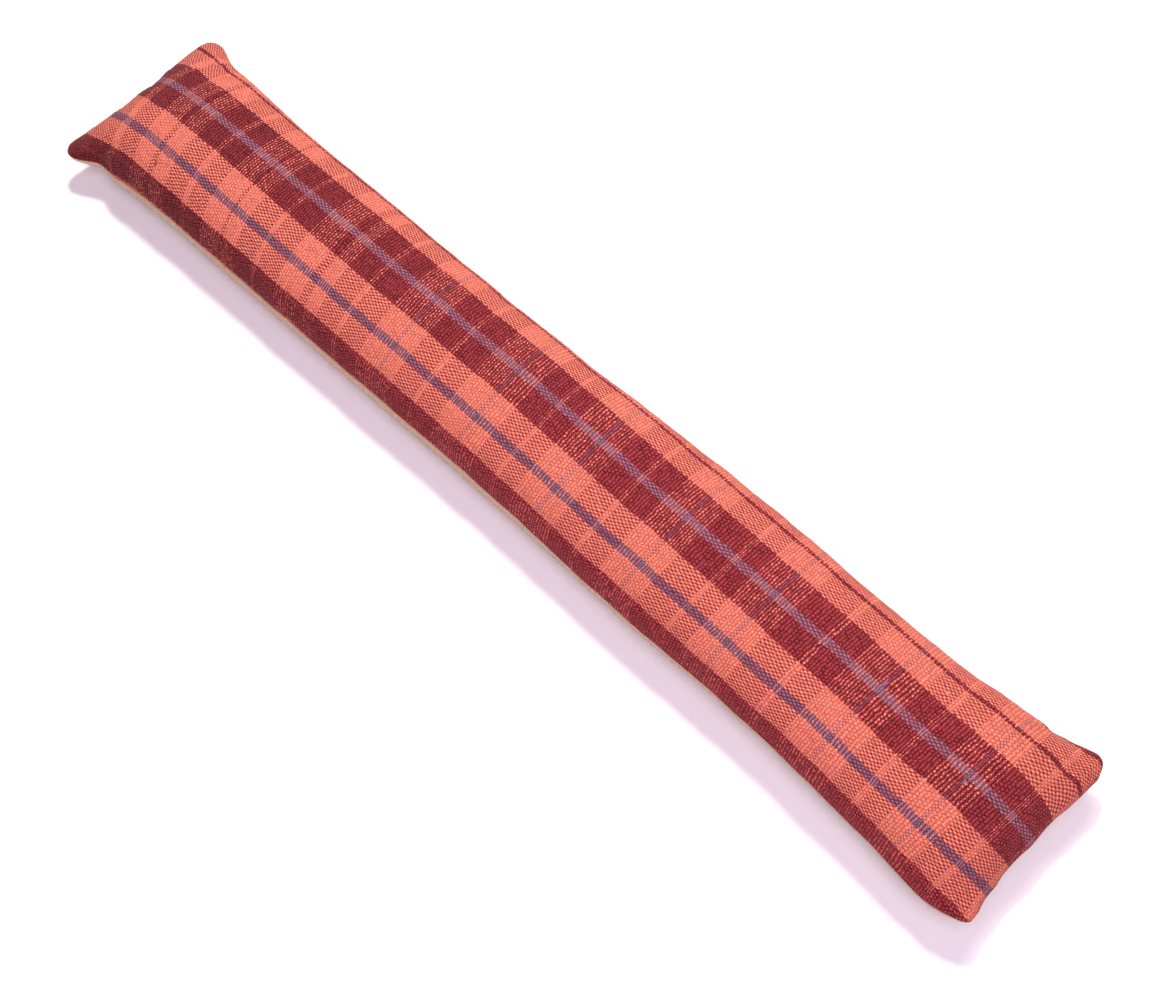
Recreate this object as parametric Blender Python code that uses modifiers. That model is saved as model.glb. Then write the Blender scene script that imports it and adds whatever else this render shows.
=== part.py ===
"""A stuffed draught excluder lying on its back: a woven front panel and a plain back panel.

The two panels are sewn together all round, turned and filled. The body crowns and its long
sides draw in, and the four corners stay wide as soft flat ears. X runs along the length,
Z is up, and the origin is on the floor under the middle. Lengths in the tables are in mm.
"""

import bmesh
import bpy
import numpy as np

MM = 0.001
SEAM_HEIGHT = 27.0
SEAM_GAP = 0.3
CROWN_HEIGHT = 33.0
TURNED_EDGE = 1.6
EAR_FLATTENING = 3.0
END_DIP = 5.0
SMOOTHING_LEVELS = 2

# Each row is a section across the body: how far along it lies, where the near seam and the
# far seam lie across, how full it is, how much of the hollow of the end it shares, and how
# far the back panel swells out past the seam.
SECTIONS = [
    # along,   near,   far,  fill, dip, swell
    (-450.0, -63.5, 65.0, 0.00, 0.5, 0.0),
    (-448.5, -71.0, 71.5, 0.08, 0.5, 0.0),
    (-442.5, -78.5, 77.0, 0.26, 0.4, 0.0),
    (-431.5, -76.0, 77.0, 0.54, 0.2, 0.5),
    (-418.5, -62.5, 70.5, 0.78, 0.0, 2.0),
    (-402.5, -67.5, 66.0, 0.92, 0.0, 3.0),
    (-378.5, -62.7, 66.0, 1.00, 0.0, 3.0),
    (-310.5, -61.5, 62.0, 1.00, 0.0, 3.0),
    (-210.5, -60.1, 61.0, 1.00, 0.0, 3.0),
    (-100.5, -59.3, 59.7, 1.00, 0.0, 3.0),
    (-0.5, -58.1, 60.5, 1.00, 0.0, 2.8),
    (89.5, -59.9, 63.3, 1.00, 0.0, 1.0),
    (159.5, -62.1, 64.0, 1.00, 0.0, 0.0),
    (246.5, -59.8, 62.1, 1.00, 0.0, 0.0),
    (319.5, -63.5, 61.2, 1.00, 0.0, -0.8),
    (374.5, -66.7, 63.5, 1.00, 0.0, -0.8),
    (404.5, -69.9, 66.9, 0.92, 0.1, -0.8),
    (422.5, -72.5, 69.5, 0.78, 0.3, 0.0),
    (436.5, -67.3, 78.0, 0.54, 0.6, 0.0),
    (445.5, -63.5, 77.0, 0.26, 0.9, 0.0),
    (449.0, -59.0, 71.0, 0.08, 1.0, 0.0),
    (450.0, -52.5, 63.5, 0.00, 1.0, 0.0),
]

# Half of a section, from the seam to the middle: how far across, the share of the height,
# and the share of the swell.
FRONT_CURVE = [
    # across, height, swell
    (1.000, 0.00, 0.0),
    (0.985, 0.34, 0.0),
    (0.900, 0.68, 0.0),
    (0.600, 0.95, 0.0),
    (0.000, 1.04, 0.0),
]
BACK_CURVE = [
    # across, depth, swell
    (1.000, 0.00, 0.0),
    (1.000, 0.34, 1.0),
    (0.940, 0.80, 1.0),
    (0.660, 1.00, 0.4),
    (0.250, 1.00, 0.0),
]


def whole_curve(half):
    """Both sides of a section, from the near seam to the far seam: across, height and swell."""
    half = np.array(half)
    mirrored = half[::-1] if half[-1, 0] else half[-2::-1]
    across = np.concatenate([-half[:, 0], mirrored[:, 0]])
    height = np.concatenate([half[:, 1], mirrored[:, 1]])
    swell = np.concatenate([half[:, 2], mirrored[:, 2]])
    return across, height, swell


def cage_points(half, full_height):
    """The cage of one panel: where each point lies along and across, and its distance from the seam.

    The distance is the fill of the section times the height of the curve, less in the corners,
    where both are small, and never under the turned edge of the cloth.
    """
    sections = np.array(SECTIONS)
    across, height, swell_share = whole_curve(half)
    along, near, far, fill, dip, swell = sections.T[:, :, None]
    hollow = END_DIP * dip * (1 - across**2)
    places = along - np.sign(along) * hollow
    sideways = (far + near) / 2 + (far - near) / 2 * across
    sideways = sideways + np.sign(across) * swell * swell_share
    flat = np.exp(-EAR_FLATTENING * (1 - fill) * (1 - np.minimum(height, 1)))
    rise = TURNED_EDGE + (full_height - TURNED_EDGE) * fill * height * flat
    rise[[0, -1], :] = 0
    rise[:, [0, -1]] = 0
    return places, sideways, rise


def filled_panel(name, half, full_height, side, collection, material):
    """One filled panel: a grid bulging from the seam, closed by a flat grid at the seam.

    The side is 1 for the panel above the seam and -1 for the one below it.
    """
    along, sideways, rise = cage_points(half, full_height - SEAM_GAP / 2)
    rows, columns = along.shape
    seam = SEAM_HEIGHT + side * SEAM_GAP / 2
    middle = sideways.mean(axis=1, keepdims=True)
    flat_across = middle + (sideways[:, -1:] - middle) * np.linspace(-1, 1, columns)
    mesh = bpy.data.meshes.new(name)
    cage = bmesh.new()
    crease = cage.edges.layers.float.new("crease_edge")
    outer = np.empty((rows, columns), object)
    inner = np.empty((rows, columns), object)
    for i in range(rows):
        for j in range(columns):
            on_rim = i in (0, rows - 1) or j in (0, columns - 1)
            bulge = (along[i, j] * MM, sideways[i, j] * MM, (seam + side * rise[i, j]) * MM)
            level = (along[i, j] * MM, flat_across[i, j] * MM, seam * MM)
            outer[i, j] = cage.verts.new(bulge)
            inner[i, j] = outer[i, j] if on_rim else cage.verts.new(level)
    for grid, turn in ((outer, side), (inner, -side)):
        for i in range(rows - 1):
            for j in range(columns - 1):
                corners = [grid[i, j], grid[i + 1, j], grid[i + 1, j + 1], grid[i, j + 1]]
                cage.faces.new(corners[::turn])
    rim = list(outer[0, :]) + list(outer[1:, -1]) + list(outer[-1, -2::-1]) + list(outer[-2:0:-1, 0])
    for first, second in zip(rim, rim[1:] + rim[:1]):
        cage.edges.get((first, second))[crease] = 1.0
    cage.to_mesh(mesh)
    cage.free()
    mesh.materials.append(material)
    panel = bpy.data.objects.new(name, mesh)
    collection.objects.link(panel)
    smooth = panel.modifiers.new("filled", "SUBSURF")
    smooth.levels = SMOOTHING_LEVELS
    smooth.render_levels = SMOOTHING_LEVELS
    mesh.shade_smooth()
    mesh.set_sharp_from_angle(angle=np.radians(60))
    return panel


def cloth(name, colour, roughness):
    """A plain cloth material."""
    material = bpy.data.materials.new(name)
    material.use_nodes = True
    shader = material.node_tree.nodes["Principled BSDF"]
    shader.inputs["Base Color"].default_value = (*colour, 1)
    shader.inputs["Roughness"].default_value = roughness
    shader.inputs["Metallic"].default_value = 0.0
    return material


for old in list(bpy.data.objects):
    bpy.data.objects.remove(old)

excluder = bpy.data.collections.new("draught_excluder")
bpy.context.scene.collection.children.link(excluder)
woven_check = cloth("woven_check", (0.50, 0.11, 0.10), 0.92)
plain_cloth = cloth("plain_cloth", (0.53, 0.33, 0.25), 0.90)
filled_panel("woven_front", FRONT_CURVE, CROWN_HEIGHT, 1, excluder, woven_check)
filled_panel("plain_back", BACK_CURVE, SEAM_HEIGHT, -1, excluder, plain_cloth)
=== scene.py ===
import bpy
import numpy as np
from mathutils import Matrix, Vector


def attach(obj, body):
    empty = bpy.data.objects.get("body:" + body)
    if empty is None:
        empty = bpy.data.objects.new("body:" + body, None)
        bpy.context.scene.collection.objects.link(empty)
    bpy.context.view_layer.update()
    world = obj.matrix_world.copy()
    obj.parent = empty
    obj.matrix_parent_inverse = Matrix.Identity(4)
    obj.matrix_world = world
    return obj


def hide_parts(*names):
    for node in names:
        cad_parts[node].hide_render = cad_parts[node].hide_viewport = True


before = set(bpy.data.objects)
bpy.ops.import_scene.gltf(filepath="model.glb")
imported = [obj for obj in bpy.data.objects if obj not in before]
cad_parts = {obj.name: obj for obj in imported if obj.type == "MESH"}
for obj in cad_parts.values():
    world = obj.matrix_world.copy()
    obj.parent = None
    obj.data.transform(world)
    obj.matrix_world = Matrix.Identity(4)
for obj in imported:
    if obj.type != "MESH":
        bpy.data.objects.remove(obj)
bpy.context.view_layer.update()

look = bpy.context.scene.view_settings
look.view_transform = "Standard"

# Camera
# It looks down on the cushion from above its near right end, at the angle of the photograph.
# The rows are its right, down and forward directions, squared up against each other.
CAMERA_PLACE = (0.4809, -0.3442, 1.0818)
CAMERA_ROWS = ((0.71305, 0.69859, -0.05946), (0.60933, -0.65942, -0.44033), (-0.34682, 0.27775, -0.89586))
FOCAL_PIXELS = 1684.0
PICTURE_WIDTH = 1167
SENSOR_WIDTH = 36.0

left_side, _, right_side = np.linalg.svd(np.array(CAMERA_ROWS))
right, down, forward = left_side @ right_side
camera_data = bpy.data.cameras.new("camera")
camera_data.sensor_fit = "HORIZONTAL"
camera_data.sensor_width = SENSOR_WIDTH
camera_data.lens = FOCAL_PIXELS / PICTURE_WIDTH * SENSOR_WIDTH
camera_data.clip_start = 0.01
camera = bpy.data.objects.new("camera", camera_data)
placed = np.eye(4)
placed[:3, 0], placed[:3, 1], placed[:3, 2], placed[:3, 3] = right, -down, -forward, CAMERA_PLACE
camera.matrix_world = Matrix(placed.tolist())
bpy.context.scene.collection.objects.link(camera)
bpy.context.scene.camera = camera

# Floor and soft light
# A plain white floor, a faint lilac sky, a soft box behind the cushion whose shadow falls
# towards the viewer, and a broad fill from the viewer's right that leaves the shadow pale.
FLOOR_SIDE = 14.0
FLOOR_COLOUR = (0.92, 0.92, 0.92)
SKY_COLOUR, SKY_STRENGTH = (1.0, 0.81, 1.03), 0.37
LAMPS = (
    # place, what it points at, side, watts, colour
    ((-0.85, 1.08, 2.15), (0.0, 0.0, 0.0), 0.28, 42.0, (1.0, 1.0, 0.93)),
    ((-0.35, 1.30, 1.90), (0.0, 0.0, 0.0), 0.40, 12.0, (1.0, 1.0, 0.93)),
    ((0.75, -0.45, 1.60), (0.0, 0.0, 0.0), 1.20, 18.5, (1.0, 0.84, 1.00)),
)

half = FLOOR_SIDE / 2
floor_corners = [(-half, -half, 0), (half, -half, 0), (half, half, 0), (-half, half, 0)]
floor_mesh = bpy.data.meshes.new("floor")
floor_mesh.from_pydata(floor_corners, [], [(0, 1, 2, 3)])
floor = bpy.data.objects.new("floor", floor_mesh)
bpy.context.scene.collection.objects.link(floor)
paper = bpy.data.materials.new("pale_floor")
paper.use_nodes = True
paper_inputs = paper.node_tree.nodes["Principled BSDF"].inputs
paper_inputs["Base Color"].default_value = (*FLOOR_COLOUR, 1)
paper_inputs["Roughness"].default_value = 0.9
paper_inputs["Specular IOR Level"].default_value = 0.1
floor_mesh.materials.append(paper)

sky = bpy.data.worlds.new("soft_sky")
sky.use_nodes = True
sky.node_tree.nodes["Background"].inputs["Color"].default_value = (*SKY_COLOUR, 1)
sky.node_tree.nodes["Background"].inputs["Strength"].default_value = SKY_STRENGTH
bpy.context.scene.world = sky


def look_along(direction):
    """The rotation that turns a lamp's -Z axis along a direction."""
    return Vector(direction).to_track_quat("-Z", "Y").to_euler()


for number, (place, aim, side, watts, tint) in enumerate(LAMPS):
    lamp_data = bpy.data.lights.new(f"soft_box_{number}", "AREA")
    lamp_data.shape = "SQUARE"
    lamp_data.size = side
    lamp_data.energy = watts
    lamp_data.color = tint
    lamp = bpy.data.objects.new(f"soft_box_{number}", lamp_data)
    lamp.location = place
    lamp.rotation_euler = look_along(np.array(aim) - np.array(place))
    bpy.context.scene.collection.objects.link(lamp)

# Woven front panel
# The upper half of the cushion: one piece of hand-woven plain cloth, sewn to the back all
# round, turned and filled. It crowns, its long sides draw in, and its corners stay wide.
MM = 0.001
SEAM_HEIGHT = 27.0
SEAM_GAP = 0.3
CROWN_HEIGHT = 33.0
TURNED_EDGE = 1.6
EAR_FLATTENING = 3.0
END_DIP = 5.0
SECTIONS = np.array([
    # along, near seam, far seam, fill, share of the end's hollow, swell of the back
    (-450.0, -63.5, 65.0, 0.00, 0.5, 0.0),
    (-448.5, -71.0, 71.5, 0.08, 0.5, 0.0),
    (-442.5, -78.5, 77.0, 0.26, 0.4, 0.0),
    (-431.5, -76.0, 77.0, 0.54, 0.2, 0.5),
    (-418.5, -63.7, 70.5, 0.78, 0.0, 2.0),
    (-402.5, -67.5, 67.4, 0.92, 0.0, 2.2),
    (-378.5, -62.7, 66.4, 1.00, 0.0, 2.0),
    (-310.5, -61.5, 61.4, 1.00, 0.0, 2.5),
    (-210.5, -60.9, 61.7, 1.00, 0.0, 2.2),
    (-100.5, -60.2, 60.2, 1.00, 0.0, 2.4),
    (-0.5, -58.1, 60.7, 1.00, 0.0, 2.9),
    (89.5, -60.3, 63.5, 1.00, 0.0, 1.6),
    (159.5, -62.5, 65.3, 1.00, 0.0, 0.6),
    (246.5, -59.3, 63.3, 1.00, 0.0, 0.2),
    (319.5, -63.5, 60.7, 1.00, 0.0, -0.8),
    (374.5, -66.7, 64.3, 1.00, 0.0, -0.8),
    (404.5, -69.9, 68.9, 0.92, 0.1, -0.8),
    (422.5, -72.5, 69.5, 0.78, 0.3, 0.0),
    (436.5, -67.8, 77.0, 0.54, 0.6, 0.0),
    (445.5, -63.5, 77.0, 0.26, 0.9, 0.0),
    (449.0, -59.0, 71.0, 0.08, 1.0, 0.0),
    (450.0, -52.5, 63.5, 0.00, 1.0, 0.0),
])
FRONT_CURVE = np.array([
    # across, height, share of the swell
    (1.000, 0.00, 0.0),
    (0.985, 0.34, 0.0),
    (0.900, 0.68, 0.0),
    (0.600, 0.95, 0.0),
    (0.000, 1.04, 0.0),
])
FRONT_COLUMNS, FRONT_ROWS = 721, 121
SAMPLES_ALONG, SAMPLES_ACROSS = 2001, 801


def spline_weights(count, places):
    """Cubic B-spline weights of `count` control points at the given places, one row a place.

    Each point is the weighted mean of the four controls round it. A control mirrored past
    each end makes the curve start and finish on its end controls.
    """
    first = np.clip(places.astype(int), 0, count - 2)
    t = places - first
    weights = np.zeros((len(places), count + 2))
    four = ((1 - t) ** 3, 3 * t**3 - 6 * t**2 + 4, 1 + 3 * t + 3 * t**2 - 3 * t**3, t**3)
    for step, weight in enumerate(four):
        weights[np.arange(len(places)), first + step] += weight / 6
    for end, beside in ((0, 1), (-1, -2)):
        inner = 2 if end == 0 else -3
        weights[:, beside] += 2 * weights[:, end]
        weights[:, inner] -= weights[:, end]
    return weights[:, 1:-1]


def filled_surface(curve, full_height, side, columns, rows):
    """A filled panel as a grid: a B-spline surface over the sections, in millimetres.

    A section's point lies across by its curve between the two seams, and rises from the seam
    by fill times height, less in the corners. Columns are even along the length, and rows are
    even along the arc of the middle section. The side is 1 above the seam and -1 below it.
    """
    mirrored = curve[::-1] if curve[-1, 0] else curve[-2::-1]
    across = np.concatenate([-curve[:, 0], mirrored[:, 0]])
    height = np.concatenate([curve[:, 1], mirrored[:, 1]])
    share = np.concatenate([curve[:, 2], mirrored[:, 2]])
    along, near, far, fill, dip, swell = SECTIONS.T[:, :, None]
    x = along - np.sign(along) * END_DIP * dip * (1 - across**2)
    y = (far + near) / 2 + (far - near) / 2 * across + np.sign(across) * swell * share
    flat = np.exp(-EAR_FLATTENING * (1 - fill) * (1 - np.minimum(height, 1)))
    rise = TURNED_EDGE + (full_height - TURNED_EDGE) * fill * height * flat
    rise[[0, -1], :] = 0
    rise[:, [0, -1]] = 0
    cage = np.stack([x, y, SEAM_HEIGHT + side * (SEAM_GAP / 2 + rise)], -1)
    for i, beside_i in ((0, 1), (-1, -2)):
        for j, beside_j in ((0, 1), (-1, -2)):
            cage[i, j] = (cage[beside_i, j] + cage[i, beside_j] + 4 * cage[i, j]) / 6
    sections, points = cage.shape[:2]
    places = np.linspace(0, sections - 1, SAMPLES_ALONG)
    line = spline_weights(sections, places) @ cage[:, points // 2, 0]
    columns_at = np.interp(np.linspace(line[0], line[-1], columns), line, places)
    places = np.linspace(0, points - 1, SAMPLES_ACROSS)
    cut = spline_weights(points, places) @ cage[sections // 2]
    arc = np.concatenate([[0], np.cumsum(np.linalg.norm(np.diff(cut, axis=0), axis=1))])
    rows_at = np.interp(np.linspace(0, arc[-1], rows), arc, places)
    lengthwise, crosswise = spline_weights(sections, columns_at), spline_weights(points, rows_at)
    return np.einsum("ia,abk,jb->ijk", lengthwise, cage, crosswise)


# How far each end seam lies right of the sections' smooth line, at places across.
LEFT_END = np.array([
    (-80, -2.0), (-70, -1.8), (-65, -0.6), (-60, 0.0), (-26, 0.2), (-17, 1.0), (-8, 0.5), (0, 0.3),
    (9, 1.8), (18, 1.4), (27, 0.0), (53, 0.0), (62, 1.0), (72, 1.2),
])
RIGHT_END = np.array([
    (-72, 1.0), (-68, 3.0), (-65, 4.2), (-62, 3.2), (-60, 1.5), (-57, 0.8), (-54, -0.5), (-50, -1.3),
    (-43, -1.5), (-34, -0.4), (-26, -1.0), (-17, -0.5), (-8, 0.3), (0, 1.7), (9, 1.5), (18, 1.1),
    (27, 1.3), (35, 2.4), (44, 2.5), (53, 2.2), (62, 1.5), (70, 0.5),
])
ENDS_START, ENDS_BLEND = 418.0, 28.0


def set_ends(grid, rim):
    """The grid with its last 30 mm at each end moved along, so that the end seams wave.

    The left end reaches out by the rim too, because the seam there rolls up a little.
    """
    for table, sign in ((LEFT_END - (0, rim), -1), (RIGHT_END, 1)):
        near_end = np.clip((sign * grid[..., 0] - ENDS_START) / ENDS_BLEND, 0, 1)
        near_end = near_end**2 * (3 - 2 * near_end)
        grid[..., 0] += near_end * np.interp(grid[..., 1], table[:, 0], table[:, 1])
    return grid


def lengths(grid, axis):
    """The length of cloth from the first line of the grid to each point, along one axis."""
    steps = np.linalg.norm(np.diff(grid, axis=axis), axis=2)
    start = np.zeros_like(steps[:1]) if axis == 0 else np.zeros_like(steps[:, :1])
    return np.concatenate([start, np.cumsum(steps, axis=axis)], axis=axis)


def edge_distance(grid):
    """The length of cloth from each point to the nearest seam."""
    from_near, from_left = lengths(grid, 1), lengths(grid, 0)
    sides = np.minimum(from_near, from_near[:, -1:] - from_near)
    return np.minimum(sides, np.minimum(from_left, from_left[-1:] - from_left))


def outward(grid, side):
    """Unit normals of the grid, pointing away from the filling."""
    normal = np.cross(np.gradient(grid, axis=0), np.gradient(grid, axis=1))
    return side * normal / np.maximum(np.linalg.norm(normal, axis=2, keepdims=True), 1e-9)


def waver(place, length, seed):
    """An uneven wave along a line: three sines whose lengths share no common measure."""
    turn = 2 * np.pi * place / length
    return (
        np.sin(turn + 1.7 * seed)
        + 0.6 * np.sin(0.618 * turn + 2.3 * seed + 1)
        + 0.45 * np.sin(1.732 * turn + 0.9 * seed + 2)
    ) / 1.4


# How far the seam strays sideways and upwards, over what length, and where it stops straying.
SIDEWAYS_STRAY, SIDEWAYS_WAVE = 0.2, 47.0
UPWARD_STRAY, UPWARD_WAVE = 0.5, 83.0
HALF_LENGTH, STRAY_FADE = 450.0, 30.0


def seam_wander(grid):
    """How the seam strays, in y and z: slow waves along the length, for front and back alike."""
    x = grid[..., 0]
    fade = np.clip((HALF_LENGTH - abs(x)) / STRAY_FADE, 0, 1)
    sideways = SIDEWAYS_STRAY * waver(x, SIDEWAYS_WAVE, 1) * fade
    upwards = UPWARD_STRAY * waver(x, UPWARD_WAVE, 2) * fade
    return np.stack([0 * x, sideways, upwards], -1)


# Folds where the corners pinch in: from, to, depth, half width.
FOLDS = {
    1: (
        ((-417, -66), (-404, -49), 1.6, 4.0),
        ((-409, -60), (-392, -52), 0.8, 5.0),
        ((-419, 72), (-406, 55), 1.9, 4.5),
        ((-430, 60), (-412, 47), 0.7, 5.0),
        ((-436, 12), (-421, 8), 0.7, 4.0),
        ((-437, -28), (-424, -22), 0.5, 4.0),
        ((412, -72), (396, -58), 1.2, 4.5),
        ((436, -60), (418, -48), 0.8, 4.5),
        ((414, 70), (402, 54), 1.5, 4.5),
        ((436, 52), (420, 40), 0.8, 5.0),
        ((438, 10), (424, 6), 0.6, 4.0),
    ),
    -1: (
        ((-421, -66), (-400, -46), 1.4, 5.0),
        ((-420, 70), (-399, 48), 1.6, 5.0),
        ((418, -70), (398, -50), 1.4, 5.0),
        ((420, 68), (400, 46), 1.5, 5.0),
        ((-438, 4), (-420, 8), 0.8, 5.0),
        ((439, -6), (421, 2), 0.8, 5.0),
    ),
}


def fold_depth(x, y, side):
    """How deep the folds press in: each is a groove of bell section along a line, with low lips."""
    depth = np.zeros_like(x)
    for (x0, y0), (x1, y1), deep, width in FOLDS[side]:
        run = np.hypot(x1 - x0, y1 - y0)
        along = ((x - x0) * (x1 - x0) + (y - y0) * (y1 - y0)) / run
        aside = ((y - y0) * (x1 - x0) - (x - x0) * (y1 - y0)) / run
        ends = np.exp(-((np.maximum(0, -along) + np.maximum(0, along - run)) / width) ** 2)
        t = (aside / width) ** 2
        depth += deep * (1 - 0.5 * t) * np.exp(-t) * ends
    return depth


LUMP_HEIGHT = 0.13
# The waves of the filling: direction in radians, and length.
LUMP_WAVES = ((0.1, 97), (0.6, 71), (-0.5, 58), (1.2, 49), (-1.0, 63), (0.3, 38))
# Puckers at the near seam, the far seam and the ends: height, spacing, and reach into the face.
NEAR_PUCKERS, FAR_PUCKERS, END_PUCKERS = (0.45, 10.5, 6.5), (0.3, 12.0, 6.5), (0.35, 11.0, 7.0)
# How far from the seam each kind of softness sets in.
LUMPS_FROM, PUCKERS_FROM, FOLDS_FROM = 14.0, 2.2, 5.0


def puckers(along, inward, kind, seed):
    """Puckers that run in from a seam: an uneven wave along it, which dies away inwards."""
    height, spacing, reach = kind
    return height * waver(along, spacing, seed) * np.exp(-inward / reach)


def soft_detail(grid, side, seed):
    """The grid with the softness of a stuffed bag, in millimetres along its normals.

    Slow lumps of filling over the whole face, folds at the corners, and puckers that run in
    from the seam and fade within about a centimetre, all nought at the seam itself.
    """
    grid = grid + seam_wander(grid)
    from_near = lengths(grid, 1)
    from_far = from_near[:, -1:] - from_near
    from_left = lengths(grid, 0)
    from_end = np.minimum(from_left, from_left[-1:] - from_left)
    edge = edge_distance(grid)
    x, y = grid[..., 0], grid[..., 1]
    lumps = sum(
        LUMP_HEIGHT * waver(np.cos(turn) * x + np.sin(turn) * from_near, length, seed + k)
        for k, (turn, length) in enumerate(LUMP_WAVES)
    )
    pucker = puckers(x, from_near, NEAR_PUCKERS, seed + 7)
    pucker += puckers(x, from_far, FAR_PUCKERS, seed + 8)
    pucker += puckers(y, from_end, END_PUCKERS, seed + 9)
    rise = lumps * (1 - np.exp(-edge / LUMPS_FROM)) + pucker * (1 - np.exp(-edge / PUCKERS_FROM))
    rise -= fold_depth(x, y, side) * (1 - np.exp(-edge / FOLDS_FROM))
    return grid + rise[..., None] * outward(grid, side)


def blurred(values, reach):
    """The values averaged both ways over a bell that reaches that many grid steps each side."""
    bell = np.exp(-np.linspace(-2.2, 2.2, 2 * reach + 1) ** 2)
    for axis in (0, 1):
        values = np.apply_along_axis(
            lambda line: np.convolve(np.pad(line, reach, "edge"), bell / bell.sum(), "valid"), axis, values
        )
    return values


def grid_faces(index):
    """The four-sided faces of a grid of point numbers, one row of four numbers a face."""
    corners = (index[:-1, :-1], index[1:, :-1], index[1:, 1:], index[:-1, 1:])
    return np.stack(corners, -1).reshape(-1, 4)


SLACK = 0.02
SIMULATED_FRAMES = 20
SIMULATED_SCALE = 10


def inflated(grid, side):
    """The grid as a sheet of slack cloth, held at its seams and blown up from inside.

    It is simulated at ten times its size, where the solver is steadier, and comes back in
    millimetres.
    """
    index = np.arange(grid[..., 0].size).reshape(grid.shape[:2])
    points = grid.reshape(-1, 3) * SIMULATED_SCALE * MM
    mesh = bpy.data.meshes.new("slack_cloth")
    mesh.from_pydata(points.tolist(), [], grid_faces(index)[:, ::side].tolist())
    sheet = bpy.data.objects.new("slack_cloth", mesh)
    bpy.context.scene.collection.objects.link(sheet)
    rim = np.concatenate([index[0], index[-1], index[1:-1, 0], index[1:-1, -1]])
    sheet.vertex_groups.new(name="seam").add(rim.tolist(), 1.0, "REPLACE")
    modifier = sheet.modifiers.new("filling", "CLOTH")
    modifier.point_cache.frame_start, modifier.point_cache.frame_end = 1, SIMULATED_FRAMES
    modifier.collision_settings.use_collision = False
    cloth = modifier.settings
    cloth.vertex_group_mass = "seam"
    cloth.mass = 0.02
    cloth.tension_stiffness = cloth.compression_stiffness = 12.0
    cloth.tension_damping = cloth.compression_damping = 3.0
    cloth.shear_stiffness = 3.0
    cloth.bending_stiffness = 0.6
    cloth.use_pressure = True
    cloth.uniform_pressure_force = 4.0
    cloth.shrink_min = -SLACK
    cloth.effector_weights.gravity = 0.0
    for frame_number in range(1, SIMULATED_FRAMES + 1):
        bpy.context.scene.frame_set(frame_number)
    settled = sheet.evaluated_get(bpy.context.evaluated_depsgraph_get()).data
    places = np.empty(grid.size, np.float32)
    settled.vertices.foreach_get("co", places)
    bpy.context.scene.frame_set(1)
    bpy.data.objects.remove(sheet)
    return places.reshape(grid.shape) / (SIMULATED_SCALE * MM)


DEEPEST_CREASE = 1.1
LONGEST_CREASE = 10  # in steps of the simulated grid
# The share of the creases that is kept far from the seams, what is added beside them, how far
# that reaches, and how far from the seam they set in.
FACE_CREASES, SEAM_CREASES, CREASE_REACH, CREASES_FROM = 0.15, 0.75, 20.0, 2.5
# Across these places they shrink to this share.
FAR_SIDE, FAR_SIDE_CREASES = (20, 50), 0.45


def creased(grid, side):
    """The grid with the creases that filling it makes, simulated on every second point.

    Only the short creases are kept, since the whole sheet would also swell, and they fade away
    from the seams, so the cushion keeps its outline. Its far long side was pulled smoother.
    """
    start = grid[::2, ::2]
    rise = np.sum((inflated(start, side) - start) * outward(start, side), axis=2)
    rise -= blurred(rise, LONGEST_CREASE)
    edge = edge_distance(start)
    fade = FACE_CREASES + SEAM_CREASES * np.exp(-((edge / CREASE_REACH) ** 2))
    rise = blurred(DEEPEST_CREASE * np.tanh(rise * fade / DEEPEST_CREASE), 1)
    rise *= 1 - np.exp(-edge / CREASES_FROM)
    rise *= np.interp(start[..., 1], FAR_SIDE, (1, FAR_SIDE_CREASES))
    between = np.zeros(grid.shape[:2])
    between[::2, ::2] = rise
    between[1::2, ::2] = (rise[:-1] + rise[1:]) / 2
    between[:, 1::2] = (between[:, :-1:2] + between[:, 2::2]) / 2
    return grid + between[..., None] * outward(grid, side)


UNDERSIDE_INSET = 8


def closed_panel(name, grid, side, ends, picks):
    """A closed mesh: the bulging grid, and a flat underside at the seam from side to side.

    The underside is one strip of faces, and one many-sided face at each end past the inset. The
    numbers of the end and of the pick go with each point as an attribute, with nought as third.
    """
    columns, rows = grid.shape[:2]
    index = np.arange(columns * rows).reshape(columns, rows)
    inset = UNDERSIDE_INSET
    near, far = index[inset:-inset, 0], index[inset:-inset, -1]
    under = np.stack([near[:-1], far[:-1], far[1:], near[1:]], -1)
    left = np.concatenate([index[0], index[1:inset + 1, -1], index[inset:0:-1, 0]])
    right = np.concatenate([index[-1, ::-1], index[-2:-inset - 2:-1, 0], index[-inset - 1:-1, -1]])
    faces = np.concatenate([grid_faces(index), under])
    if side < 0:
        faces, left, right = faces[:, ::-1], left[::-1], right[::-1]
    mesh = bpy.data.meshes.new(name)
    faces = faces.tolist() + [left.tolist(), right.tolist()]
    mesh.from_pydata((grid.reshape(-1, 3) * MM).tolist(), [], faces)
    threads = np.stack([ends, picks, np.zeros_like(ends)], -1)
    attribute = mesh.attributes.new("threads", "FLOAT_VECTOR", "POINT")
    attribute.data.foreach_set("vector", threads.reshape(-1).astype(np.float32))
    mesh.shade_smooth()
    mesh.update()
    made = bpy.data.objects.new(name, mesh)
    bpy.context.scene.collection.objects.link(made)
    return made


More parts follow.
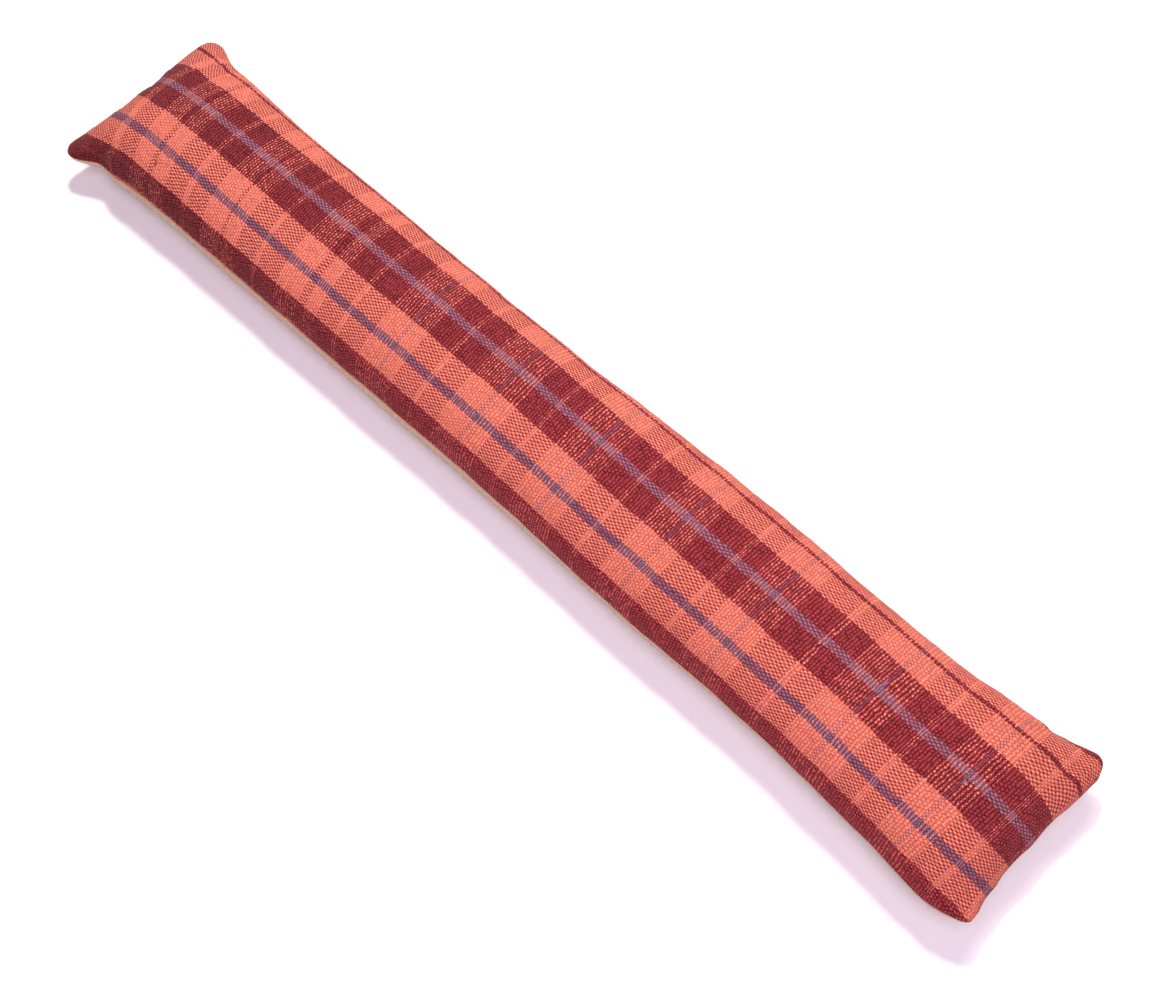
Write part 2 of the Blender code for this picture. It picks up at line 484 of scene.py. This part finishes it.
# The cloth was cut a little off the straight, so its stripes run nearer to the near seam at
# the right. Each row gives a place along, and how far from the middle line the named ends lie.
LINE_ENDS = np.array([18.0, 35.5, 53.0, 70.5, 88.0, 103.5])
LINES = np.array([
    (-450, -56.5, -31.0, -5.5, 16.0, 37.2, 61.6),
    (-440, -56.5, -31.0, -5.8, 15.9, 37.2, 61.4),
    (-430, -56.8, -31.0, -6.4, 15.6, 37.6, 60.0),
    (-420, -56.0, -31.4, -7.4, 15.2, 37.2, 59.1),
    (-410, -55.5, -31.7, -8.0, 15.9, 38.5, 59.3),
    (-403, -55.0, -31.6, -8.1, 16.2, 38.0, 59.8),
    (-393, -54.2, -31.1, -6.9, 16.1, 36.9, 55.6),
    (-382, -53.8, -31.1, -6.4, 16.2, 37.4, 56.2),
    (-370, -53.9, -30.8, -6.3, 16.5, 38.4, 57.0),
    (-300, -53.1, -30.9, -6.8, 16.6, 39.1, 57.5),
    (-200, -52.9, -31.6, -8.0, 15.5, 38.4, 57.3),
    (-100, -52.7, -31.8, -8.2, 15.2, 38.0, 56.4),
    (0, -52.9, -32.0, -8.5, 14.8, 37.6, 55.9),
    (100, -55.8, -34.7, -11.4, 11.6, 34.3, 53.4),
    (200, -57.5, -36.6, -13.9, 9.0, 31.7, 50.8),
    (300, -59.6, -39.2, -17.3, 5.3, 27.8, 47.6),
    (360, -63.4, -43.3, -21.6, 1.2, 24.0, 45.2),
    (397, -65.6, -44.5, -21.3, 0.6, 24.4, 46.5),
    (407, -65.5, -44.8, -22.1, 0.1, 24.5, 46.5),
    (416, -66.7, -44.9, -23.0, -0.6, 24.5, 48.1),
    (426, -65.4, -44.2, -22.5, -0.2, 23.4, 48.1),
    (435, -64.3, -42.7, -21.5, 0.2, 23.9, 47.5),
    (444, -65.6, -40.5, -19.8, 1.2, 23.0, 50.3),
    (450, -65.6, -39.5, -19.0, 1.5, 22.5, 47.5),
])
OUTER_PITCH = 1.3


def end_numbers(grid):
    """The number of the end (the lengthwise thread) at each point, counted from the near seam.

    Between the named ends it grows evenly with the cloth's length from the middle line, and
    past them at the outer pitch.
    """
    across = lengths(grid, 1)
    across -= np.array([np.interp(0, line[:, 1], far) for line, far in zip(grid, across)])[:, None]
    lines = [np.interp(grid[..., 0], LINES[:, 0], column) for column in LINES[:, 1:].T]
    number = LINE_ENDS[0] + np.minimum(across - lines[0], 0) / OUTER_PITCH
    number += np.maximum(across - lines[-1], 0) / OUTER_PITCH
    for k in range(len(lines) - 1):
        part = np.clip((across - lines[k]) / (lines[k + 1] - lines[k]), 0, 1)
        number += part * (LINE_ENDS[k + 1] - LINE_ENDS[k])
    return number


# The weft leans and bows. Each row gives a place along the cloth, and how far right of it the
# same pick lies at each of the named ends.
LEAN_ENDS = np.array([5.0, 20, 30, 45, 60, 75, 90, 103, 115])
LEAN = np.array([
    (-416, 14.4, 12.5, 7.5, 0, -4.0, -3.8, 1.6, 5.0, 5.5),
    (-392, 12.0, 10.2, 5.8, 0, -3.2, -3.4, -0.6, 2.1, 2.4),
    (-329, 11.8, 9.4, 4.5, 0, -1.8, -1.6, 0.6, 1.4, 1.6),
    (-306, 12.2, 9.8, 4.8, 0, -2.0, -1.8, -0.2, 0.6, 0.8),
    (-243, 10.4, 8.8, 4.8, 0, -2.8, -3.4, -1.6, 0.8, 1.0),
    (-150, 7.5, 5.9, 3.6, 0, -2.8, -4.6, -3.8, -1.8, -1.6),
    (-64, 2.6, 2.3, 1.8, 0, -2.2, -4.0, -4.0, -2.2, -2.0),
    (23, 0.4, 0.3, 0.2, 0, -1.0, -2.5, -3.2, -2.6, -2.6),
    (103, -0.9, -0.7, 0.0, 0, -0.6, -1.0, -0.4, 1.0, 1.4),
    (188, -2.6, -2.2, -1.0, 0, 0.3, 0.6, 1.2, 2.0, 2.4),
    (269, -1.2, -0.9, -0.4, 0, 0.8, 2.0, 3.4, 3.8, 4.0),
    (353, -1.0, -0.8, -0.4, 0, 1.2, 2.9, 4.8, 5.8, 6.2),
    (426, -5.0, -4.6, -2.4, 0, 2.0, 3.8, 5.4, 7.0, 8.2),
])
# Where each band of the weft ends, along the cloth: dark red, a fine coral line, dark red,
# coral, a dotted line of two picks and coral again, ten times over, then four bands more.
WEFT_BAND_ENDS = np.array([
    -422.4, -411.8, -392.0, -373.6, -368.8, -353.5,
    -331.6, -327.1, -306.9, -286.9, -282.3, -267.6,
    -245.9, -241.9, -218.7, -193.7, -186.9, -173.8,
    -153.0, -148.2, -125.0, -104.5, -101.3, -88.2,
    -66.6, -61.8, -41.4, -18.7, -15.5, 1.3,
    21.2, 24.8, 40.5, 61.8, 65.8, 79.8,
    101.4, 105.8, 125.0, 144.5, 147.4, 160.4,
    187.2, 190.4, 205.1, 223.1, 226.3, 239.8,
    266.1, 271.8, 290.4, 313.4, 316.7, 333.0,
    350.8, 354.4, 373.7, 389.1, 391.7, 403.5,
    423.9, 427.2, 451.0, 475.0,
])
WEFT_START = -475.0
WEFT_ORDER = ("maroon", "coral", "maroon", "coral", "accent", "coral")
REPEAT, ACCENT = len(WEFT_ORDER), WEFT_ORDER.index("accent")
PICK_PITCH = 2.45
band_marks = np.concatenate([[WEFT_START], WEFT_BAND_ENDS])
band_picks = np.maximum(2, 2 * np.round(np.diff(band_marks) / PICK_PITCH / 2))
band_picks[ACCENT::REPEAT] = 2
pick_at_mark = np.concatenate([[0], np.cumsum(band_picks)])


def pick_numbers(grid, ends):
    """The number of the pick (the crosswise thread) at each point, counted from the left seam.

    The length along the cloth, less the lean at that end, is read off the table of bands.
    """
    along = lengths(grid, 0)
    middle_line = np.array([np.interp(0, grid[:, j, 0], along[:, j]) for j in range(grid.shape[1])])
    along = along - middle_line
    columns = [np.interp(along, LEAN[:, 0], column) for column in LEAN[:, 1:].T]
    lean = columns[0].copy()
    for k in range(len(columns) - 1):
        part = np.clip((ends - LEAN_ENDS[k]) / (LEAN_ENDS[k + 1] - LEAN_ENDS[k]), 0, 1)
        lean += part * (columns[k + 1] - columns[k])
    return np.interp(along - lean, band_marks, pick_at_mark)


front_height = CROWN_HEIGHT - SEAM_GAP / 2
smooth_front = filled_surface(FRONT_CURVE, front_height, 1, FRONT_COLUMNS, FRONT_ROWS)
smooth_front = set_ends(smooth_front, 0.0)
front_ends = end_numbers(smooth_front)
front_picks = pick_numbers(smooth_front, front_ends)
soft_front = creased(soft_detail(smooth_front, 1, 1), 1)
front = closed_panel("woven_front_panel", soft_front, 1, front_ends, front_picks)


def node(tree, kind, **settings):
    """A new shader node with its own settings, such as its operation."""
    made = tree.nodes.new(kind)
    for name, value in settings.items():
        setattr(made, name, value)
    return made


def feed(tree, made, values):
    """Sets a node's inputs, each a number, a colour or another node's output."""
    for name, value in values.items():
        if isinstance(value, bpy.types.NodeSocket):
            tree.links.new(value, made.inputs[name])
        else:
            made.inputs[name].default_value = value
    return made


def sum_of(tree, operation, *values):
    """One Math node, and its output."""
    made = node(tree, "ShaderNodeMath", operation=operation)
    return feed(tree, made, dict(enumerate(values))).outputs[0]


def plus(tree, base, *terms):
    """The base with each mask times its amount added, term by term."""
    for mask, amount in terms:
        base = sum_of(tree, "MULTIPLY_ADD", mask, amount, base)
    return base


def range_of(tree, value, old, new):
    """A value moved from one range to another and held there: a Map Range node's output."""
    made = node(tree, "ShaderNodeMapRange")
    return feed(tree, made, {0: value, 1: old[0], 2: old[1], 3: new[0], 4: new[1]}).outputs[0]


def noise_of(tree, place, **values):
    """One flat Noise Texture at a place in the weave."""
    made = node(tree, "ShaderNodeTexNoise", noise_dimensions="2D")
    return feed(tree, made, {"Vector": place, **values})


def vector_of(tree, operation, *values):
    """One Vector Math node."""
    made = node(tree, "ShaderNodeVectorMath", operation=operation)
    return feed(tree, made, dict(enumerate(values)))


def scaled(tree, colour, factor):
    """The colour made lighter or darker by a factor."""
    return feed(tree, vector_of(tree, "SCALE", colour), {"Scale": factor}).outputs[0]


def blend_of(tree, factor, first, second):
    """A colour Mix node, and its output."""
    made = node(tree, "ShaderNodeMix", data_type="RGBA")
    return feed(tree, made, {0: factor, 6: first, 7: second}).outputs[2]


def stepped_ramp(tree, value, stops):
    """A Color Ramp with hard steps: each stop is a place from 0 to 1 and the colour from there on."""
    made = node(tree, "ShaderNodeValToRGB")
    made.color_ramp.interpolation = "CONSTANT"
    points = made.color_ramp.elements
    while len(points) < len(stops):
        points.new(1.0)
    for point, (place, colour) in zip(points, stops):
        point.position = place
        point.color = (*colour, 1)
    return feed(tree, made, {0: value}).outputs[0]


def new_group(name, inputs, outputs):
    """An empty shader node group with named sockets, and its own input and output nodes."""
    group = bpy.data.node_groups.new(name, "ShaderNodeTree")
    for title, kind, value in inputs:
        socket = group.interface.new_socket(title, in_out="INPUT", socket_type=kind)
        socket.default_value = value
    for title, kind in outputs:
        group.interface.new_socket(title, in_out="OUTPUT", socket_type=kind)
    return group, node(group, "NodeGroupInput"), node(group, "NodeGroupOutput")


# A pick that shows is drawn higher by a share of its depth, but no more than the second number,
# so that its crowns catch light. Its yarn's number comes after those of all the ends.
WEFT_LIFT, MOST_LIFT = 0.7, 0.5
PICKS_PAST_ENDS = 500.0


def plain_weave_group():
    """Plain weave, from the numbers of the end and the pick.

    Each yarn is round in section, as wide as its share of the pitch, and waves up and down
    over its neighbours by turns. An end can bulge over the one beside it. The higher one
    shows. It puts out which one that is, how high it stands, a number that is the same along
    one yarn, and a random number for each crossing, by which the unevenness lays the weft
    deeper or less deep there.
    """
    inputs = (
        ("End", "NodeSocketFloat", 0.0),
        ("Pick", "NodeSocketFloat", 0.0),
        ("Warp Width", "NodeSocketFloat", 1.2),
        ("Weft Width", "NodeSocketFloat", 0.8),
        ("Weft Depth", "NodeSocketFloat", 0.5),
        ("Wave", "NodeSocketFloat", 0.6),
        ("Unevenness", "NodeSocketFloat", 0.9),
    )
    outputs = (
        ("Warp Shows", "NodeSocketFloat"),
        ("Height", "NodeSocketFloat"),
        ("Yarn", "NodeSocketFloat"),
        ("Chance", "NodeSocketFloat"),
    )
    group, given, result = new_group("plain_weave", inputs, outputs)
    whole, inside = {}, {}
    for title in ("End", "Pick"):
        number = given.outputs[title]
        whole[title] = sum_of(group, "FLOOR", number)
        inside[title] = sum_of(group, "SUBTRACT", sum_of(group, "SUBTRACT", number, whole[title]), 0.5)
    cell = feed(group, node(group, "ShaderNodeCombineXYZ"), {0: whole["End"], 1: whole["Pick"]})
    chance = node(group, "ShaderNodeTexWhiteNoise", noise_dimensions="2D")
    chance = feed(group, chance, {"Vector": cell.outputs[0]}).outputs["Value"]
    parity = sum_of(group, "FLOORED_MODULO", sum_of(group, "ADD", whole["End"], whole["Pick"]), 2.0)
    turn = sum_of(group, "MULTIPLY_ADD", parity, -2.0, 1.0)
    height = {}
    both_ways = (("End", "Pick", "Warp Width", 1.0), ("Pick", "End", "Weft Width", -1.0))
    for title, other, width, way in both_ways:
        wave = sum_of(group, "COSINE", sum_of(group, "MULTIPLY", inside[other], np.pi))
        wave = sum_of(group, "MULTIPLY", sum_of(group, "MULTIPLY", wave, turn), way)
        wave = sum_of(group, "MULTIPLY", wave, given.outputs["Wave"])
        for place in ("own", "beside") if title == "End" else ("own",):
            distance = inside[title]
            if place == "beside":
                distance = sum_of(group, "SUBTRACT", 1.0, sum_of(group, "ABSOLUTE", inside[title]))
                wave = sum_of(group, "MULTIPLY", wave, -1.0)
            doubled = sum_of(group, "MULTIPLY", distance, 2.0)
            off_centre = sum_of(group, "DIVIDE", doubled, given.outputs[width])
            section = sum_of(group, "SUBTRACT", 1.0, sum_of(group, "MULTIPLY", off_centre, off_centre))
            surface = sum_of(group, "ADD", wave, section)
            if place == "own":
                height[title] = surface
            else:
                height[title] = sum_of(group, "MAXIMUM", height[title], surface)
    by_chance = sum_of(group, "SUBTRACT", 0.5, chance)
    depth = plus(group, given.outputs["Weft Depth"], (by_chance, given.outputs["Unevenness"]))
    height["Pick"] = sum_of(group, "SUBTRACT", height["Pick"], depth)
    shows = sum_of(group, "GREATER_THAN", height["End"], height["Pick"])
    lifted = plus(group, height["Pick"], (depth, WEFT_LIFT))
    lifted = sum_of(group, "MINIMUM", lifted, sum_of(group, "ADD", height["Pick"], MOST_LIFT))
    tallest = sum_of(group, "MAXIMUM", height["End"], lifted)
    above_warp = sum_of(group, "SUBTRACT", tallest, height["End"])
    weft_shows = sum_of(group, "SUBTRACT", 1.0, shows)
    tallest = plus(group, height["End"], (above_warp, weft_shows))
    yarn = node(group, "ShaderNodeMix", data_type="FLOAT")
    pick_yarn = sum_of(group, "ADD", whole["Pick"], PICKS_PAST_ENDS)
    feed(group, yarn, {0: shows, 2: pick_yarn, 3: whole["End"]})
    feed(group, result, {"Warp Shows": shows, "Height": tallest, "Yarn": yarn.outputs[0], "Chance": chance})
    return group


# The heights in the weave at which a gap is darkest and a crown is lightest.
GAP_HEIGHT, CROWN_TOP = 0.1, 1.55


def yarn_shade_group():
    """Light and shade on one yarn: crowns lighter, and gaps darker and deeper in colour.

    Light that bounces between fibres in a gap is coloured more than once, so the colour there
    is raised to a power above one before it is darkened. Each yarn and each crossing is a
    little lighter or darker than the next.
    """
    inputs = (
        ("Color", "NodeSocketColor", (0.8, 0.8, 0.8, 1)),
        ("Height", "NodeSocketFloat", 1.0),
        ("Yarn", "NodeSocketFloat", 0.0),
        ("Chance", "NodeSocketFloat", 0.5),
        ("Contrast", "NodeSocketFloat", 1.0),
        ("Unevenness", "NodeSocketFloat", 0.2),
    )
    group, given, result = new_group("yarn_shade", inputs, (("Color", "NodeSocketColor"),))
    crown = range_of(group, given.outputs["Height"], (GAP_HEIGHT, CROWN_TOP), (0.0, 1.0))
    gap = sum_of(group, "MULTIPLY", sum_of(group, "SUBTRACT", 1.0, crown), given.outputs["Contrast"])
    power = plus(group, 0.9, (gap, 0.9))
    deep = node(group, "ShaderNodeGamma")
    deep = feed(group, deep, {"Color": given.outputs["Color"], "Gamma": power}).outputs[0]
    noise = node(group, "ShaderNodeTexWhiteNoise", noise_dimensions="1D")
    noise = feed(group, noise, {"W": given.outputs["Yarn"]}).outputs["Value"]
    by_chance = sum_of(group, "SUBTRACT", given.outputs["Chance"], 0.5)
    own = plus(group, 0.93, (noise, 0.14), (by_chance, given.outputs["Unevenness"]))
    light = sum_of(group, "MULTIPLY", own, plus(group, 1.1, (gap, -0.5)))
    feed(group, result, {"Color": scaled(group, deep, light)})
    return group


WEAVE = plain_weave_group()
YARN_SHADE = yarn_shade_group()
YARNS = {
    "coral": (0.760, 0.241, 0.172),
    "maroon": (0.288, 0.0385, 0.048),
    "purple": (0.255, 0.125, 0.180),
    "lavender": (0.312, 0.144, 0.194),
    "blue": (0.200, 0.160, 0.225),
}
WARP_STRIPES = (
    # the stripe's colour, and the number of its first end
    ("coral", -20), ("maroon", 0), ("coral", 18), ("purple", 33), ("coral", 38), ("maroon", 53),
    ("lavender", 68), ("maroon", 73), ("coral", 88), ("maroon", 102), ("coral", 105), ("maroon", 121),
)
WARP_SPAN = (-20.0, 140.0)
DARK_ACCENTS = 3
RAMP_BANDS = 21


def warp_colour(tree, end):
    """The colour of an end: stripes by its number."""
    low, high = WARP_SPAN
    place = sum_of(tree, "DIVIDE", sum_of(tree, "SUBTRACT", end, low), high - low)
    stops = [((first - low) / (high - low), YARNS[colour]) for colour, first in WARP_STRIPES]
    return stepped_ramp(tree, place, stops)


def weft_colour(tree, pick):
    """The colour of a pick: bands by its number, in ramps end to end.

    The lines in the accent's place are dark red at the left and blue in the rest of the cloth.
    """
    starts, band_ends = pick_at_mark[:-1], pick_at_mark[1:]
    names = [WEFT_ORDER[k % REPEAT] for k in range(len(starts))]
    for k in range(ACCENT, len(names), REPEAT):
        names[k] = "maroon" if k // REPEAT < DARK_ACCENTS else "blue"
    weft = None
    for first in range(0, len(starts), RAMP_BANDS):
        part = slice(first, first + RAMP_BANDS)
        low, high = float(starts[part][0]), float(band_ends[part][-1])
        place = sum_of(tree, "DIVIDE", sum_of(tree, "SUBTRACT", pick, low), high - low)
        band_starts = (starts[part] - low) / (high - low)
        stops = [(start, YARNS[name]) for start, name in zip(band_starts, names[part])]
        colours = stepped_ramp(tree, place, stops)
        past = sum_of(tree, "GREATER_THAN", pick, low)
        weft = colours if weft is None else blend_of(tree, past, weft, colours)
    return weft


MOST_BLUE = 0.1


def is_dark_red(tree, colour):
    """1 where the yarn is the dark red one, which alone has hardly any blue in it, else 0."""
    blue = feed(tree, node(tree, "ShaderNodeSeparateColor"), {0: colour}).outputs[2]
    return sum_of(tree, "LESS_THAN", blue, MOST_BLUE)


PITCH_RATIO = 0.62  # how much nearer together the ends are than the picks
# How far from the mean a hair fades out, and the noise at which its line is whole.
HAIR_FADES, HAIR_BREAKS = (0.004, 0.022), (0.45, 0.6)


def stray_hairs(tree, end, pick):
    """0 to 1: thin broken lines that lie every way, where a swirled noise crosses its mean."""
    across = sum_of(tree, "MULTIPLY", end, PITCH_RATIO)
    place = feed(tree, node(tree, "ShaderNodeCombineXYZ"), {0: across, 1: pick}).outputs[0]
    swirl = noise_of(tree, place, Scale=0.55, Detail=1.0, Distortion=1.5).outputs[0]
    from_mean = sum_of(tree, "ABSOLUTE", sum_of(tree, "SUBTRACT", swirl, 0.5))
    line = range_of(tree, from_mean, HAIR_FADES, (1.0, 0.0))
    broken = noise_of(tree, place, Scale=0.9, Detail=0.0).outputs[0]
    return sum_of(tree, "MULTIPLY", line, range_of(tree, broken, HAIR_BREAKS, (0.0, 1.0)))


HAIR_COLOUR = (0.52, 0.17, 0.15, 1)
# How much of the yarn below a slub covers, and where its rim fades, in shares of its half size.
SLUB_COVER, SLUB_RIM = 0.75, (0.6, 1.1)
SLUBS = (
    # number of the end and the pick, half its size in ends and in picks, and the yarn's colour
    (75.2, 324.9, 2.1, 0.8, (0.23, 0.15, 0.28)),
    (35.6, 239.5, 1.0, 3.2, (0.10, 0.035, 0.085)),
    (65.8, 358.1, 1.2, 0.6, (0.30, 0.18, 0.25)),
    (52.3, 350.0, 1.0, 0.8, (0.60, 0.21, 0.20)),
    (94.5, 337.2, 0.6, 0.5, (0.66, 0.42, 0.44)),
    (63.1, 44.8, 2.4, 0.8, (0.11, 0.012, 0.022)),
    (25.3, 44.3, 1.6, 0.7, (0.12, 0.016, 0.040)),
)


def with_slubs(tree, flat, colour):
    """The colour with small thick places in the yarn laid over it, each an oval of one colour."""
    for end, pick, half_ends, half_picks, slub in SLUBS:
        away = vector_of(tree, "SUBTRACT", flat, (end, pick, 0)).outputs[0]
        share = vector_of(tree, "DIVIDE", away, (half_ends, half_picks, 1)).outputs[0]
        reach = vector_of(tree, "LENGTH", share).outputs["Value"]
        mask = range_of(tree, reach, SLUB_RIM, (SLUB_COVER, 0.0))
        colour = blend_of(tree, mask, colour, (*slub, 1))
    return colour


def shaded_yarn(tree, weave, colour, **values):
    """The colour with the light and shade of the yarn that shows."""
    made = node(tree, "ShaderNodeGroup", node_tree=YARN_SHADE)
    of_weave = {title: weave.outputs[title] for title in ("Height", "Yarn", "Chance")}
    return feed(tree, made, {"Color": colour, **of_weave, **values}).outputs[0]


def weave_bump(tree, weave, distance, strength):
    """The normal of cloth that rises and falls with its weave."""
    bump = feed(tree, node(tree, "ShaderNodeBump"), {"Height": weave.outputs["Height"]})
    return feed(tree, bump, {"Distance": distance, "Strength": strength}).outputs[0]


# How far the threads lie out of line, in threads, and the last ends of the stripe at the seam.
END_STRAY, PICK_STRAY = 1.0, 0.8
SEAM_STRIPE = (19.0, 17.5)
# Between these picks the painted shade on the dark red yarn at the left end gives way to painted light.
LEFT_SHADE_PICKS = (60.0, 200.0)


def woven_check_material():
    """The checked cloth: coloured yarns in plain weave, uneven yarn, and a nap of fine hairs.

    The dark red yarn is thick and the others thin, so dark picks show more among coral ends
    than coral picks do among dark ones. In the dark stripe beside the near seam the ends are
    pushed together and nearly hide the weft, and its hairs stand out. The dark red yarn is
    painted darker at the left end and lighter along the cloth, most of all in that stripe: painted
    shade where less light falls at the left end, and painted light on the near side.
    """
    material = bpy.data.materials.new("woven_check")
    material.use_nodes = True
    tree = material.node_tree
    shader = tree.nodes["Principled BSDF"]
    threads = node(tree, "ShaderNodeAttribute", attribute_name="threads")
    numbers = feed(tree, node(tree, "ShaderNodeSeparateXYZ"), {0: threads.outputs["Vector"]})
    straight_end, straight_pick = numbers.outputs[0], numbers.outputs[1]
    flat = node(tree, "ShaderNodeCombineXYZ")
    flat = feed(tree, flat, {0: straight_end, 1: straight_pick}).outputs[0]
    stray = noise_of(tree, flat, Scale=0.35, Detail=2.0).outputs["Color"]
    stray = feed(tree, node(tree, "ShaderNodeSeparateColor"), {0: stray}).outputs
    aside, ahead, deeper = (sum_of(tree, "SUBTRACT", stray[k], 0.5) for k in range(3))
    end = sum_of(tree, "ADD", straight_end, sum_of(tree, "MULTIPLY", aside, END_STRAY))
    pick = sum_of(tree, "ADD", straight_pick, sum_of(tree, "MULTIPLY", ahead, PICK_STRAY))
    warp, weft = warp_colour(tree, end), weft_colour(tree, pick)
    dark_warp, dark_weft = is_dark_red(tree, warp), is_dark_red(tree, weft)
    light_in_dark = sum_of(tree, "MULTIPLY", dark_warp, sum_of(tree, "SUBTRACT", 1.0, dark_weft))
    dark_in_light = sum_of(tree, "MULTIPLY", dark_weft, sum_of(tree, "SUBTRACT", 1.0, dark_warp))
    beside_seam = range_of(tree, end, SEAM_STRIPE, (0.0, 1.0))
    depth = plus(tree, 0.42, (deeper, 0.35), (light_in_dark, -0.09), (dark_in_light, 0.07))
    weave = feed(tree, node(tree, "ShaderNodeGroup", node_tree=WEAVE), {
        "End": end,
        "Pick": pick,
        "Warp Width": plus(tree, 1.15, (dark_warp, 0.25)),
        "Weft Width": plus(tree, 0.55, (dark_weft, 0.4)),
        "Weft Depth": plus(tree, depth, (beside_seam, 0.5)),
        "Wave": 0.6,
        "Unevenness": plus(tree, 0.9, (light_in_dark, 0.1), (dark_in_light, 0.4)),
    })
    colour = blend_of(tree, weave.outputs["Warp Shows"], weft, warp)
    dark = is_dark_red(tree, colour)
    contrast = plus(tree, 0.95, (dark, 0.35))
    uneven = plus(tree, 0.2, (light_in_dark, 0.15), (dark, 0.22))
    shaded = shaded_yarn(tree, weave, colour, Contrast=contrast, Unevenness=uneven)
    # Painted shade and light on the dark red yarn: darker at the left end, lighter further along, and more
    # so in the stripe beside the near seam.
    pale = range_of(tree, straight_pick, LEFT_SHADE_PICKS, (0.0, 1.0))
    painted_light_share = plus(tree, 0.27, (beside_seam, 0.33))
    tone_and_painted_light = plus(tree, 0.75, (pale, painted_light_share), (light_in_dark, 0.13), (dark_in_light, -0.08))
    tone_and_painted_light = plus(tree, 1.0, (sum_of(tree, "SUBTRACT", tone_and_painted_light, 1.0), dark))
    shaded = with_slubs(tree, flat, scaled(tree, shaded, tone_and_painted_light))
    hairs = sum_of(tree, "MULTIPLY", stray_hairs(tree, straight_end, straight_pick), dark)
    hairs = sum_of(tree, "MULTIPLY", hairs, plus(tree, 0.18, (beside_seam, 0.3)))
    feed(tree, shader, {"Base Color": blend_of(tree, hairs, shaded, HAIR_COLOUR)})
    feed(tree, shader, {"Normal": weave_bump(tree, weave, 0.0004, 0.8)})
    feed(tree, shader, {"Roughness": 0.95, "Specular IOR Level": 0.1})
    feed(tree, shader, {"Sheen Weight": 0.09, "Sheen Roughness": 0.6, "Sheen Tint": (1.0, 0.5, 0.42, 1)})
    return material


front.data.materials.append(woven_check_material())
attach(front, "root")
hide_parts("woven_front")

# Plain back panel
# The lower half of the cushion: one piece of plain undyed cloth, sewn to the front all round.
# It swells out past the seam along the near side, and lies flat where it rests.
BACK_CURVE = np.array([
    # across, depth, share of the swell
    (1.000, 0.00, 0.0),
    (1.000, 0.34, 1.0),
    (0.940, 0.80, 1.0),
    (0.660, 1.00, 0.4),
    (0.250, 1.00, 0.0),
])
BACK_COLUMNS, BACK_ROWS = 601, 101
BACK_PITCH = 0.9
BACK_COLOUR = (0.64, 0.48, 0.335, 1)
LEFT_ROLL = 0.9


def plain_cloth_material():
    """Plain beige cloth: one yarn both ways, with soft crowns and uneven threads."""
    material = bpy.data.materials.new("plain_cloth")
    material.use_nodes = True
    tree = material.node_tree
    shader = tree.nodes["Principled BSDF"]
    threads = node(tree, "ShaderNodeAttribute", attribute_name="threads")
    numbers = feed(tree, node(tree, "ShaderNodeSeparateXYZ"), {0: threads.outputs["Vector"]})
    weave = feed(tree, node(tree, "ShaderNodeGroup", node_tree=WEAVE), {
        "End": numbers.outputs[0],
        "Pick": numbers.outputs[1],
        "Warp Width": 1.1,
        "Weft Width": 1.0,
        "Weft Depth": 0.1,
        "Wave": 0.5,
    })
    feed(tree, shader, {"Base Color": shaded_yarn(tree, weave, BACK_COLOUR, Contrast=0.6)})
    feed(tree, shader, {"Normal": weave_bump(tree, weave, 0.00025, 0.7)})
    feed(tree, shader, {"Roughness": 0.92, "Specular IOR Level": 0.1})
    feed(tree, shader, {"Sheen Weight": 0.02, "Sheen Roughness": 0.6})
    return material


back_depth = SEAM_HEIGHT - SEAM_GAP / 2
smooth_back = filled_surface(BACK_CURVE, back_depth, -1, BACK_COLUMNS, BACK_ROWS)
smooth_back = set_ends(smooth_back, LEFT_ROLL)
back_ends, back_picks = lengths(smooth_back, 1) / BACK_PITCH, lengths(smooth_back, 0) / BACK_PITCH
soft_back = creased(soft_detail(smooth_back, -1, 11), -1)
soft_back[..., 2] = np.maximum(soft_back[..., 2], 0)
back = closed_panel("plain_back_panel", soft_back, -1, back_ends, back_picks)
back.data.materials.append(plain_cloth_material())
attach(back, "root")
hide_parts("plain_back")
